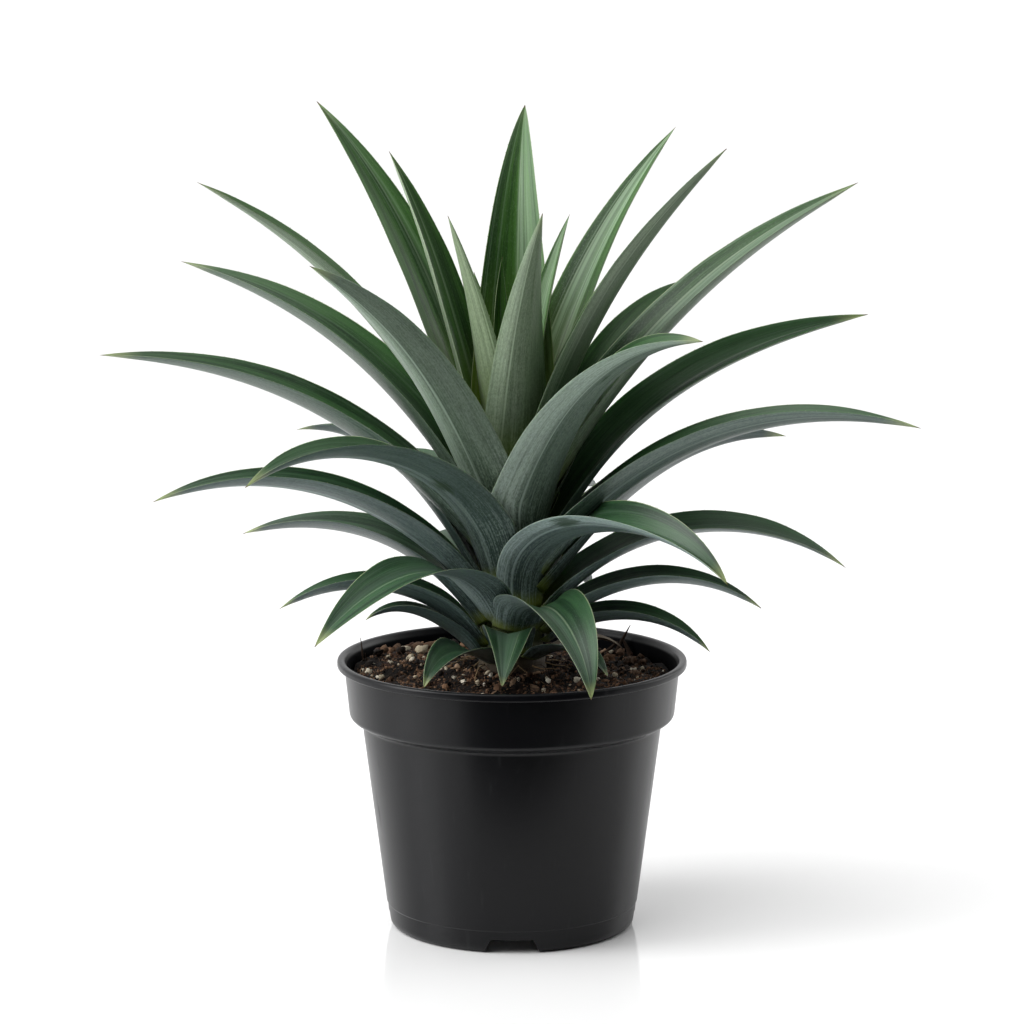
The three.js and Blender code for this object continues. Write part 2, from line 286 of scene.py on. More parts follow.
def stretched(place, scale):
    """A place measured by its own scale on each axis, which draws a pattern out or presses it together."""
    return add(place.tree, "ShaderNodeMapping", {"Vector": place, "Scale": scale})


def black_plastic():
    """Satin black with faint upright scuffs. Above the soil the inner wall is given almost no reflection and
    more roughness, as painted shade inside the pot.
    """
    material, tree = new_material("black polypropylene")
    place = object_place(tree)
    flow = noise(tree, place, 45, detail=4)
    grain = noise(tree, place, 1600, detail=2)
    scuffs = smooth(0.62, 0.75, noise(tree, stretched(place, SCUFF_SCALE), 1))
    base = colour_mix(flow, PLASTIC_DARK, PLASTIC_LIGHT)
    base = colour_mix(scuffs * 0.25, base, SCUFF_COLOUR)
    x, y, height = (part_of(place, axis) for axis in "XYZ")
    slant = (BAND_TOP_RADIUS - BAND_BOTTOM_RADIUS) / (POT_HEIGHT - LIP_THICKNESS - BAND_BOTTOM_Z)
    middle = (height - BAND_BOTTOM_Z) * slant + (BAND_BOTTOM_RADIUS - WALL / 2)
    # Painted shade: the inner wall above the soil loses its reflection and gains roughness, standing in for
    # the shade inside the pot.
    inside = smooth(0, 0.0004, middle - length_of(arrow(tree, x, y, 0)))
    inside = inside * smooth(0, 0.0005, height - BAND_BOTTOM_Z)
    rough = 0.28 + flow * 0.08 + scuffs * 0.1 + inside * 0.3
    gloss = blend(inside, OUTSIDE_GLOSS, SHADED_INSIDE_GLOSS)
    relief = add(tree, "ShaderNodeBump", {"Strength": 0.12, "Distance": 0.0002, "Height": grain + flow * 2})
    finish_material(tree, Base_Color=base, Roughness=rough, Normal=relief, Specular_IOR_Level=gloss)
    return material


def turned_tree():
    """A wall turned from the base mesh's outline, with notches and drain holes cut through it."""
    tree, size = new_tree("turned pot", {
        "Outline": "Geometry", "Sides": "Int", "Notches": "Int", "Notch Radius": "Float",
        "Notch Top": "Float", "Notch Bottom": "Float", "Notch Height": "Float",
        "Hole Radius": "Float", "Hole Circle": "Float", "Material": "Material",
    })
    turned = turned_wall(tree, size["Outline"], size["Sides"])
    block = add(tree, "GeometryNodeMeshCube", {"Size": (1, 1, 1)})
    corner = add(tree, "GeometryNodeInputPosition")
    side, front, up = (part_of(corner, axis) for axis in "XYZ")
    half = blend(up + 0.5, size["Notch Bottom"], size["Notch Top"])
    outward = size["Notch Radius"] + side * CUT_LENGTH
    shaped = arrow(tree, outward, front * half, up * size["Notch Height"] * 2)
    notch = add(tree, "GeometryNodeSetPosition", {"Geometry": block, "Position": shaped})
    hole = add(tree, "GeometryNodeMeshCylinder", {
        "Vertices": DRAIN_HOLE_SIDES, "Radius": size["Hole Radius"], "Depth": CUT_LENGTH,
    })
    hole_place = arrow(tree, size["Hole Circle"], 0, 0)
    hole = add(tree, "GeometryNodeTransform", {"Geometry": hole, "Translation": hole_place})
    cutters = add(tree, "GeometryNodeJoinGeometry")
    for shape, start in ((notch, 0.0), (hole, math.pi / 4)):
        points = add(tree, "GeometryNodeMeshLine", {"Count": size["Notches"], "Offset": (0, 0, 0)})
        index = add(tree, "GeometryNodeInputIndex")
        turn = arrow(tree, 0, 0, index / size["Notches"] * math.tau + start)
        values = {"Points": points, "Instance": shape, "Rotation": turn}
        spread = add(tree, "GeometryNodeInstanceOnPoints", values)
        real = add(tree, "GeometryNodeRealizeInstances", (spread,))
        tree.links.new(real.socket, cutters.socket.node.inputs[0])
    cut = add(tree, "GeometryNodeMeshBoolean", operation="DIFFERENCE")
    tree.links.new(turned.socket, cut.socket.node.inputs[0])
    tree.links.new(cutters.socket, cut.socket.node.inputs[1])
    close_tree(cut, size["Material"])
    return tree


def turned_wall(tree, outline, sides):
    """Geometry turned about the Z axis from an outline mesh whose points run in order."""
    count = add(tree, "GeometryNodeAttributeDomainSize", (outline,))
    values = {"Size X": 1, "Size Y": 1, "Vertices X": sides + 1, "Vertices Y": count}
    grid = add(tree, "GeometryNodeMeshGrid", values)
    spot = add(tree, "GeometryNodeInputPosition")
    row = ((part_of(spot, "Y") + 0.5) * (count - 1)).math("ROUND")
    values = {"Geometry": outline, "Value": add(tree, "GeometryNodeInputPosition"), "Index": row}
    stop = add(tree, "GeometryNodeSampleIndex", values, data_type="FLOAT_VECTOR")
    angle = (part_of(spot, "X") + 0.5) * math.tau
    radius = part_of(stop, "X")
    place = arrow(tree, radius * cosine(angle), radius * sine(angle), part_of(stop, "Z"))
    turned = add(tree, "GeometryNodeSetPosition", {"Geometry": grid, "Position": place})
    return add(tree, "GeometryNodeMergeByDistance", {"Geometry": turned, "Distance": SAME_POINT})


def inner_wall(height):
    """The radius of the tapered wall's inner face at one height."""
    share = (height - SEAM_Z) / (SHOULDER_Z - SEAM_Z)
    return SEAM_RADIUS + (WALL_TOP_RADIUS - SEAM_RADIUS) * share - WALL


def pot_outline():
    """The moulding's section, from the middle of its underside round the lip to the middle of its floor."""
    lip_bottom = POT_HEIGHT - LIP_THICKNESS
    ring_inner = FOOT_RADIUS - FOOT_RING_WIDTH
    floor_top = FLOOR_UNDERSIDE_Z + WALL
    corners = [
        (0, FLOOR_UNDERSIDE_Z, 0),
        (ring_inner, FLOOR_UNDERSIDE_Z, 0.0008),
        (ring_inner, 0, 0.0005),
        (FOOT_RADIUS, 0, 0.0045),
        (SEAM_RADIUS - 0.001, SEAM_Z, 0.0003),
        (SEAM_RADIUS - 0.001 + SEAM_STEP, SEAM_Z + 0.0006, 0.0003),
        (WALL_TOP_RADIUS, SHOULDER_Z, 0.0015),
        (BAND_BOTTOM_RADIUS, BAND_BOTTOM_Z - 0.001, 0.0018),
        (BAND_TOP_RADIUS, lip_bottom, 0.0008),
        (LIP_RADIUS, lip_bottom + 0.0002, 0.0010),
        (LIP_RADIUS, POT_HEIGHT, 0.0016),
        (BAND_TOP_RADIUS + 0.0002, POT_HEIGHT, 0.0014),
        (BAND_TOP_RADIUS - WALL, lip_bottom - 0.001, 0.003),
        (BAND_BOTTOM_RADIUS - WALL, BAND_BOTTOM_Z + 0.001, 0.001),
        (inner_wall(SHOULDER_Z), SHOULDER_Z + 0.001, 0.001),
        (inner_wall(SEAM_Z), floor_top, 0.003),
        (0, floor_top, 0),
    ]
    return rounded(corners)


pot = grow("nursery_pot", turned_tree(), {
    "Sides": POT_SIDES, "Notches": NOTCH_COUNT, "Notch Radius": FOOT_RADIUS - NOTCH_INSET,
    "Notch Top": NOTCH_TOP_WIDTH, "Notch Bottom": 2 * NOTCH_BOTTOM_WIDTH - NOTCH_TOP_WIDTH,
    "Notch Height": NOTCH_HEIGHT, "Hole Radius": DRAIN_HOLE_RADIUS, "Hole Circle": DRAIN_CIRCLE_RADIUS,
    "Material": black_plastic(),
}, base=line_mesh("pot outline", pot_outline()))
pot.data.set_sharp_from_angle(angle=math.radians(SHARP_CORNER_DEG))
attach(pot, "root")
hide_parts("pot")


# Soil: damp potting mix that fills the pot to a finger's width below the lip. It is mounded round the stem,
# heaped at the back left, and strewn with its own crumbs, perlite, bark, rootlets and bits of twig.
GAP = 0.00035
SOIL_LEVEL = 0.1225
SOIL_MOUND = 0.0055
SOIL_MOUND_CROWN = 0.021
SOIL_MOUND_SPREAD = 0.015
SOIL_HEAP = 0.004
SOIL_HEAP_SPREAD = 0.026
SOIL_HEAP_PLACE = (-0.052, 0.026)
SOIL_LUMP = 0.0011
SOIL_CLOD = 0.0035
SOIL_RIM = 0.07845
STEM_HOLE = 0.01735
STEM_HOLE_BOTTOM_Z = 0.104
SOIL_RINGS = 80
SOIL_SIDES = 220


def lumps(x, y, sine_of, cosine_of):
    """Two waves about 20 mm long that cross, and a longer one aslant, for numbers and for fields."""
    return sine_of(x * 310 + 1.3) * cosine_of(y * 370 - 0.4) + sine_of(x * 170 - y * 230) * 0.8


def soil_height(x, y):
    """The soil's surface, without its crumbs, at one place."""
    radius = math.hypot(x, y)
    mound = SOIL_MOUND * math.exp(-((max(radius - SOIL_MOUND_CROWN, 0) / SOIL_MOUND_SPREAD) ** 2))
    away = math.hypot(x - SOIL_HEAP_PLACE[0], y - SOIL_HEAP_PLACE[1])
    heap = SOIL_HEAP * math.exp(-((away / SOIL_HEAP_SPREAD) ** 2))
    return SOIL_LEVEL + mound + heap + SOIL_LUMP * lumps(x, y, math.sin, math.cos)


def soil_tree():
    """The soil turned from its outline, with its level top pushed up into the mound, the heap and clods."""
    tree, size = new_tree("bed of soil", {
        "Outline": "Geometry", "Sides": "Int", "Level": "Float",
        "Mound": "Float", "Mound Crown": "Float", "Mound Spread": "Float",
        "Heap": "Float", "Heap Spread": "Float", "Heap Place": "Vector", "Lump": "Float", "Clod": "Float",
        "Material": "Material",
    })
    turned = turned_wall(tree, size["Outline"], size["Sides"])
    spot = add(tree, "GeometryNodeInputPosition")
    x, y, z = (part_of(spot, axis) for axis in "XYZ")
    flat = arrow(tree, x, y, 0)
    radius = length_of(flat)
    mound = bell((radius - size["Mound Crown"]).math("MAXIMUM", 0) / size["Mound Spread"]) * size["Mound"]
    heap = bell(length_of(flat - size["Heap Place"]) / size["Heap Spread"]) * size["Heap"]
    waves = lumps(x, y, sine, cosine) * size["Lump"]
    clods = (noise(tree, flat, 260, detail=4, roughness=0.6) - 0.5) * size["Clod"]
    rise = mound + heap + waves + clods * smooth(0, 0.004, SOIL_RIM - radius)
    top = add(tree, "FunctionNodeCompare", (abs(z - size["Level"]), 0.00001), operation="LESS_THAN")
    values = {"Geometry": turned, "Selection": top, "Offset": arrow(tree, 0, 0, rise)}
    raised = add(tree, "GeometryNodeSetPosition", values)
    close_tree(add(tree, "GeometryNodeSetShadeSmooth", (raised,)), size["Material"])
    return tree


def bell(share):
    """1 at 0, falling off evenly to nothing."""
    return (share * share * -1).math("EXPONENT")


def soil_outline():
    """The filling of the pot, a small gap inside its wall, with the level top and the hole for the stem."""
    floor = FLOOR_UNDERSIDE_Z + WALL + GAP
    outline = [
        (0, floor),
        (inner_wall(SEAM_Z) - 0.0034, floor),
        (inner_wall(SEAM_Z) - GAP, SEAM_Z + 0.001),
        (inner_wall(SHOULDER_Z) - GAP, SHOULDER_Z + 0.001),
        (BAND_BOTTOM_RADIUS - WALL - GAP, BAND_BOTTOM_Z + 0.001),
    ]
    step = (SOIL_RIM - STEM_HOLE) / SOIL_RINGS
    outline += [(SOIL_RIM - step * i, SOIL_LEVEL) for i in range(SOIL_RINGS + 1)]
    outline += [(STEM_HOLE, STEM_HOLE_BOTTOM_Z), (0, STEM_HOLE_BOTTOM_Z)]
    return [(radius, 0, height) for radius, height in outline]


def earth(name, dark, light, red, rough):
    """A crumbly, unglossy material. Each bit has its own tone between dark and light, and some are redder."""
    material, tree = new_material(name)
    place = object_place(tree)
    own = read(tree, "tone")
    grain = noise(tree, place, 900, detail=4, roughness=0.65)
    patches = noise(tree, place, 120, detail=3)
    shade = colour_mix(smooth(0.25, 0.95, own * 0.7 + grain * 0.4), dark, light)
    shade = colour_mix(smooth(0.5, 0.7, patches) * 0.5, shade, red)
    relief = add(tree, "ShaderNodeBump", {"Strength": 0.6, "Distance": 0.0006, "Height": grain})
    finish_material(tree, Base_Color=shade, Roughness=rough, Normal=relief, Specular_IOR_Level=0.25)
    return material


def read(tree, name):
    return add(tree, "ShaderNodeAttribute", attribute_name=name).of("Fac")


def keep(geometry, name, value, kind="FLOAT", domain="POINT"):
    """Writes a value onto the geometry's points under this name."""
    values = {"Geometry": geometry, "Name": name, "Value": value}
    return add(geometry.tree, "GeometryNodeStoreNamedAttribute", values, data_type=kind, domain=domain)


def named(tree, name, kind="FLOAT"):
    return add(tree, "GeometryNodeInputNamedAttribute", {"Name": name}, data_type=kind)


def chance(tree, low, high, seed):
    """A random number for each point."""
    values = {"Min": low, "Max": high, "Seed": seed}
    return add(tree, "FunctionNodeRandomValue", values, data_type="FLOAT")


def bits_tree(name, scattered):
    """Rugged little bodies, strewn over the bed's top or set on the points of the base mesh."""
    tree, size = new_tree(name, {
        "Bed": "Geometry", "Density": "Float", "Inside": "Float", "Outside": "Float",
        "Smallest": "Float", "Largest": "Float", "Shape": "Vector", "Ruggedness": "Float",
        "Tumble": "Float", "Grain": "Int", "Seed": "Int", "Material": "Material",
    })
    if scattered:
        spot = add(tree, "GeometryNodeInputPosition")
        x, y = (part_of(spot, axis) for axis in "XY")
        radius = length_of(arrow(tree, x, y, 0))
        upward = part_of(add(tree, "GeometryNodeInputNormal"), "Z")
        ring = smooth(0, 0.0001, radius - size["Inside"]) * smooth(0, 0.0001, size["Outside"] - radius)
        density = size["Density"] * ring * smooth(0.3, 0.31, upward)
        values = {"Mesh": size["Bed"], "Density": density, "Seed": size["Seed"]}
        points = add(tree, "GeometryNodeDistributePointsOnFaces", values)
        biggest = chance(tree, 0, 1, size["Seed"] + 1)
        points = keep(points, "size", blend(biggest * biggest, size["Smallest"], size["Largest"]))
        points = keep(points, "heading", chance(tree, 0, math.tau, size["Seed"] + 2))
    else:
        points = add(tree, "GeometryNodeMeshToPoints", (size["Bed"],))
    points = keep(points, "tone", chance(tree, 0, 1, size["Seed"] + 3))
    tips = [chance(tree, -1, 1, size["Seed"] + 4 + i) * size["Tumble"] for i in range(2)]
    ball = add(tree, "GeometryNodeMeshIcoSphere", {"Radius": 0.5, "Subdivisions": size["Grain"]})
    strewn = add(tree, "GeometryNodeInstanceOnPoints", {
        "Points": points, "Instance": ball, "Rotation": arrow(tree, *tips, named(tree, "heading")),
        "Scale": size["Shape"] * named(tree, "size"),
    })
    real = add(tree, "GeometryNodeRealizeInstances", (strewn,))
    own = named(tree, "size")
    spot = add(tree, "GeometryNodeInputPosition")
    rough = noise(tree, spot * (1.5 / own), 1, detail=1).of("Color")
    push = (rough - arrow(tree, 0.5, 0.5, 0.5)) * (own * size["Ruggedness"])
    close_tree(add(tree, "GeometryNodeSetPosition", {"Geometry": real, "Offset": push}), size["Material"])
    return tree


def on_soil(piece, *replaced):
    """What the soil and everything that lies on it has in common."""
    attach(piece, "root")
    if replaced:
        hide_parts(*replaced)


humus = earth("damp peat", (0.005, 0.003, 0.002, 1), (0.19, 0.105, 0.058, 1), (0.06, 0.022, 0.010, 1), 0.85)
soil = grow("soil_bed", soil_tree(), {
    "Sides": SOIL_SIDES, "Level": SOIL_LEVEL, "Mound": SOIL_MOUND,
    "Mound Crown": SOIL_MOUND_CROWN, "Mound Spread": SOIL_MOUND_SPREAD,
    "Heap": SOIL_HEAP, "Heap Spread": SOIL_HEAP_SPREAD, "Heap Place": (*SOIL_HEAP_PLACE, 0),
    "Lump": SOIL_LUMP, "Clod": SOIL_CLOD, "Material": humus,
}, base=line_mesh("soil outline", soil_outline()))
strewn_tree = bits_tree("strewn bits", True)
perlite_stuff = earth("perlite", (0.42, 0.36, 0.26, 1), (0.85, 0.80, 0.68, 1), (0.55, 0.42, 0.28, 1), 0.9)
bark_stuff = earth("bark", (0.03, 0.016, 0.009, 1), (0.38, 0.25, 0.16, 1), (0.12, 0.05, 0.025, 1), 0.85)
# Each kind: bits to a square metre, smallest, largest, shape, ruggedness, tumble, fineness, seed, material
STREWN = {
    "soil_crumbs": (330000, 0.0007, 0.0026, (1, 0.8, 0.7), 0.8, 3, 1, 11, humus),
    "soil_lumps": (9000, 0.0024, 0.0052, (1, 0.75, 0.65), 1.0, 3, 2, 23, humus),
    "perlite_grains": (9000, 0.0009, 0.0034, (1, 0.85, 0.7), 0.6, 3, 2, 37, perlite_stuff),
    "bark_chips": (6500, 0.0025, 0.0080, (1, 0.4, 0.22), 0.5, 0.5, 2, 41, bark_stuff),
}
for kind, (density, low, high, shape, rugged, tumble, grain, seed, stuff) in STREWN.items():
    on_soil(grow(kind, strewn_tree, {
        "Density": float(density), "Inside": STEM_HOLE + 0.002, "Outside": SOIL_RIM - 0.0025,
        "Smallest": low, "Largest": high, "Shape": shape, "Ruggedness": rugged,
        "Tumble": float(tumble), "Grain": grain, "Seed": seed, "Material": stuff,
    }, base=soil.data.copy()))
on_soil(soil, "soil")


# The largest bits that can be told apart, each (x, y, size) in millimetres
BIT_LIFT_SHARE = 0.45
BIT_TURN = 2.4
LARGE_PERLITE = [
    (-53, 45.5, 5), (-45, 35, 6), (-49.6, 20.7, 5), (-68.7, 17.8, 3.2), (-63.5, -7.3, 3), (-49.2, 13.4, 3),
    (-11.6, -23.2, 3.2), (-37.8, 50.1, 3), (-59.6, 14.3, 3), (-23.3, -28.7, 3), (-16.5, -30.9, 3.2),
    (-13.2, -30.9, 2.4), (31.1, -19.8, 3.4), (50, -6.3, 3.2), (17.3, -28.7, 3), (3.1, -33.1, 2.8),
    (49.3, 52.4, 3), (-70, 2, 3.6), (-61, 24, 3.4), (38, -27, 2.6), (60, 10, 2.8),
]
LARGE_CLODS = [
    (-48, 50, 7), (-35, 62, 6), (-30, 67, 6), (-58, 44, 6), (-42, 57, 6), (-64, 36, 5), (-24, 62, 5),
    (-45, 53, 6), (-38, 65, 5), (-53, 47, 5), (-61, 41, 5), (-33, 58, 5), (-50, 56, 5), (-55, 30, 5),
    (-66, 28, 5), (-70, 12, 4), (36, 40, 6), (48, 34, 5), (58, 28, 5), (64, 20, 4), (54, 42, 5),
]


def spots_mesh(name, spots):
    """Single points on the soil, each with the size and heading of the bit that lies there."""
    mesh = bpy.data.meshes.new(name)
    spots = [(x / 1000, y / 1000, size / 1000) for x, y, size in spots]
    points = [(x, y, soil_height(x, y) + size * BIT_LIFT_SHARE) for x, y, size in spots]
    mesh.from_pydata(points, [], [])
    sizes = [size for _, _, size in spots]
    headings = [i * BIT_TURN for i in range(len(spots))]
    for label, values in (("size", sizes), ("heading", headings)):
        mesh.attributes.new(label, "FLOAT", "POINT").data.foreach_set("value", values)
    return mesh


placed_tree = bits_tree("placed bits", False)
for kind, spots, shape, seed, stuff in (
    ("large_perlite", LARGE_PERLITE, (1, 0.75, 0.6), 51, perlite_stuff),
    ("large_clods", LARGE_CLODS, (1, 0.85, 0.8), 67, humus),
):
    on_soil(grow(kind, placed_tree, {
        "Shape": shape, "Ruggedness": 1.1, "Tumble": 0.8, "Grain": 3, "Seed": seed, "Material": stuff,
    }, base=spots_mesh(kind, spots)))


# Strands: pale rootlets that leave the stem's foot and lie on the soil, fine fibres of peat, and a few dark
# splinters of bark that stand up near the pot's wall.
STRAND_STEP = 0.0008
STRAND_SIDES = 6
ROOT_FORK = (0.003, -0.0176, 0.1315)
ROOT_START_RADIUS = 0.0172
ROOT_START_Z = 0.1308
ROOT_COUNT = 11
FIBRE_COUNT = 70


def strand_tree():
    """A thin tapering thread along each line of the base mesh, with a small wander of its own."""
    tree, size = new_tree("strands", {
        "Lines": "Geometry", "Wander": "Float", "Sides": "Int", "Seed": "Float", "Material": "Material",
    })
    lines = add(tree, "GeometryNodeMeshToCurve", (size["Lines"],))
    smooth_lines = add(tree, "GeometryNodeCurveSplineType", (lines,), spline_type="CATMULL_ROM")
    values = {"Curve": smooth_lines, "Length": STRAND_STEP}
    stops = add(tree, "GeometryNodeResampleCurve", values, mode="LENGTH")
    spot = add(tree, "GeometryNodeInputPosition")
    drift = noise(tree, spot * 160 + arrow(tree, 0, 0, size["Seed"]), 1, detail=2).of("Color")
    push = (drift - arrow(tree, 0.5, 0.5, 0.5)) * size["Wander"]
    moved = add(tree, "GeometryNodeSetPosition", {"Geometry": stops, "Offset": push})
    ring = add(tree, "GeometryNodeCurvePrimitiveCircle", {"Resolution": size["Sides"], "Radius": 1})
    threads = add(tree, "GeometryNodeCurveToMesh", {
        "Curve": moved, "Profile Curve": ring, "Scale": named(tree, "thickness"), "Fill Caps": True,
    })
    close_tree(threads, size["Material"])
    return tree


def strands_mesh(name, strands):
    """One mesh of open lines. Each strand is its points and its thickness at the first and last."""
    mesh = bpy.data.meshes.new(name)
    points, edges, thickness = [], [], []
    for line, first, last in strands:
        start = len(points)
        points += line
        edges += [(start + i, start + i + 1) for i in range(len(line) - 1)]
        thickness += [first + (last - first) * i / (len(line) - 1) for i in range(len(line))]
    mesh.from_pydata(points, edges, [])
    mesh.attributes.new("thickness", "FLOAT", "POINT").data.foreach_set("value", thickness)
    return mesh


def lying_strand(x, y, heading, length, lift):
    """A line that lies on the soil and arches up by lift at its middle."""
    line = []
    farthest = SOIL_RIM - 0.003
    for share in (0, 0.2, 0.4, 0.6, 0.8, 1):
        along_x = x + math.cos(heading + share) * length * share
        along_y = y + math.sin(heading + share) * length * share
        reach = math.hypot(along_x, along_y)
        if reach > farthest:
            along_x, along_y = (value * farthest / reach for value in (along_x, along_y))
        rise = 0.0012 + lift * math.sin(math.pi * share)
        line.append((along_x, along_y, soil_height(along_x, along_y) + rise))
    return line


def stem_roots():
    """Rootlets down the mound from the stem's foot, with the forked one at the front."""
    branches = (
        [ROOT_FORK, (0.0, -0.0225, 0.1292), (-0.003, -0.028, 0.1262), (-0.002, -0.034, 0.1238)],
        [ROOT_FORK, (0.008, -0.0235, 0.1288), (0.014, -0.0285, 0.1262), (0.0165, -0.031, 0.1246)],
    )
    roots = [(line, 0.0003, 0.0001) for line in branches]
    for i in range(ROOT_COUNT):
        angle = math.radians(i * 137.5 + 200)
        far = 0.027 + 0.004 * (i % 3)
        line = []
        for share in (0, 0.35, 0.7, 1):
            radius = ROOT_START_RADIUS + (far - ROOT_START_RADIUS) * share
            turned = angle + share * 0.35
            x, y = (math.cos(turned) * radius, math.sin(turned) * radius)
            line.append((x, y, ROOT_START_Z * (1 - share) + (soil_height(x, y) + 0.0004) * share))
        roots.append((line, 0.0004, 0.00015))
    return roots


root_stuff = earth("rootlets", (0.24, 0.17, 0.09, 1), (0.42, 0.33, 0.2, 1), (0.2, 0.1, 0.04, 1), 0.7)
strand = strand_tree()
draw = random.Random(5)
fibres = []
for _ in range(FIBRE_COUNT):
    radius = draw.uniform(0.024, 0.074)
    angle = draw.uniform(0, math.tau)
    line = lying_strand(
        math.cos(angle) * radius, math.sin(angle) * radius, draw.uniform(0, math.tau),
        draw.uniform(0.006, 0.02), draw.uniform(0, 0.003),
    )
    fibres.append((line, draw.uniform(0.00012, 0.0003), 0.00008))
splinters = [
    ([(-0.0725, 0.0235, 0.1215), (-0.0733, 0.0232, 0.127), (-0.0748, 0.0228, 0.137)], 0.0011, 0.00012),
    ([(-0.0705, 0.0245, 0.1215), (-0.0725, 0.0235, 0.129)], 0.0008, 0.0002),
    ([(0.0525, 0.0535, 0.1225), (0.055, 0.053, 0.129), (0.0592, 0.052, 0.1375)], 0.0019, 0.00015),
    ([(0.0595, 0.049, 0.1225), (0.0555, 0.0525, 0.130)], 0.0014, 0.0005),
    ([(0.047, 0.056, 0.1225), (0.053, 0.0535, 0.1285)], 0.0012, 0.0006),
]
for name, lines, wander, stuff in (
    ("stem_rootlets", stem_roots(), 0.0012, root_stuff),
    ("peat_fibres", fibres, 0.002, bark_stuff),
    ("bark_splinters", splinters, 0.0006, bark_stuff),
):
    on_soil(grow(name, strand, {
        "Wander": wander, "Sides": STRAND_SIDES, "Seed": 3.0, "Material": stuff,
    }, base=strands_mesh(name, lines)))


# Stem: the short woody trunk of the plant, ringed with the scars of old leaves. It stands in the soil,
# and every leaf clasps it one above the other.
STEM_BOTTOM_Z = 0.105
STEM_BOTTOM_RADIUS = 0.014
STEM_FOOT_Z = 0.128
STEM_FOOT_RADIUS = 0.017
STEM_TOP_Z = 0.232
STEM_TOP_RADIUS = 0.003
SCAR_PITCH = 0.004
SCAR_DEPTH = 0.0004
STEM_SIDES = 64
BARK_ROUGHNESS = 0.0008


def stem_radius(height):
    """The cone's radius at one height, without the steps of its scars."""
    share = min(max((height - STEM_FOOT_Z) / (STEM_TOP_Z - STEM_FOOT_Z), 0), 1)
    return STEM_FOOT_RADIUS + (STEM_TOP_RADIUS - STEM_FOOT_RADIUS) * share


def stem_outline():
    """The cone of the stem, which narrows a little and steps out again at each old leaf scar."""
    rings = [(0, STEM_BOTTOM_Z), (STEM_BOTTOM_RADIUS, STEM_BOTTOM_Z), (STEM_FOOT_RADIUS, STEM_FOOT_Z - 0.006)]
    count = round((STEM_TOP_Z - STEM_FOOT_Z) / SCAR_PITCH)
    for i in range(count):
        for share, depth in ((0.0, 0.0), (0.75, SCAR_DEPTH), (0.95, 0.0)):
            height = STEM_FOOT_Z + (i + share) * SCAR_PITCH
            rings.append((stem_radius(height) - depth, height))
    rings.append((0, STEM_TOP_Z + 0.001))
    return [(radius, 0, height) for radius, height in rings]


def stem_tree():
    """The stem turned from its outline, with its surface a little uneven."""
    tree, size = new_tree("ringed stem", {
        "Outline": "Geometry", "Sides": "Int", "Roughness": "Float", "Material": "Material",
    })
    turned = turned_wall(tree, size["Outline"], size["Sides"])
    spot = add(tree, "GeometryNodeInputPosition")
    push = add(tree, "GeometryNodeInputNormal") * ((noise(tree, spot, 300) - 0.7) * size["Roughness"])
    rough = add(tree, "GeometryNodeSetPosition", {"Geometry": turned, "Offset": push})
    close_tree(add(tree, "GeometryNodeSetShadeSmooth", (rough,)), size["Material"])
    return tree


def stem_bark():
    """Brown at the soil, and green where the living leaves are."""
    material, tree = new_material("green stem bark")
    place = object_place(tree)
    grain = noise(tree, stretched(place, (1, 1, 0.25)), 700, detail=4)
    fresh = smooth(0.131, 0.15, part_of(place, "Z"))
    brown = colour_mix(grain, (0.018, 0.012, 0.006, 1), (0.09, 0.065, 0.03, 1))
    green = colour_mix(grain, (0.03, 0.05, 0.015, 1), (0.12, 0.15, 0.045, 1))
    relief = add(tree, "ShaderNodeBump", {"Strength": 0.6, "Distance": 0.0006, "Height": grain})
    finish_material(tree, Base_Color=colour_mix(fresh, brown, green), Roughness=0.7, Normal=relief)
    return material


stem = grow("ringed_stem", stem_tree(), {
    "Sides": STEM_SIDES, "Roughness": BARK_ROUGHNESS, "Material": stem_bark(),
}, base=line_mesh("stem outline", stem_outline()))
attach(stem, "root")
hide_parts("stem")


# Leaves: 45 stiff, channelled blades in one spiral, oldest and lowest first. Each clasps the stem with a
# broad pale base, arches outwards and ends in a hard point, with fine spines along its margins.
KEEL_THICKNESS = 0.0015
EDGE_THICKNESS = 0.0007
TIP_WIDTH = 0.0002
FULL_THICKNESS_WIDTH = 0.007
ROOT_BEVEL_SHARE = 0.008
ROOT_CLEARANCE = 0.0006
ROOT_HANDLE = 0.42
TIP_HANDLE = 0.36
TWIST_START = 0.15
CLASP_ROOM = 0.002
LARGEST_WRAP = 1.25
ROOT_WIDTH_SHARE = 0.85
FULL_WIDTH_AT = 0.2
FULLY_OPEN_AT = 0.28
TAPER_POWER = 0.95
TAPER_SCALE = 1.08
CREASE_SHARE = 0.3
CREASE_GAIN = 0.35
CURL_SHARE = 0.7
TIP_THINNING = 0.5
EDGE_WAVE = 0.0012
SPINE_LENGTH = 0.0005
SPINE_PITCH = 0.005
SPINE_THICKNESS_SHARE = 0.28
SPINE_LEAN = 0.9
LAST_OLD_LEAF = 20
BLADE_STATIONS = 81
BLADE_COLUMNS = 37

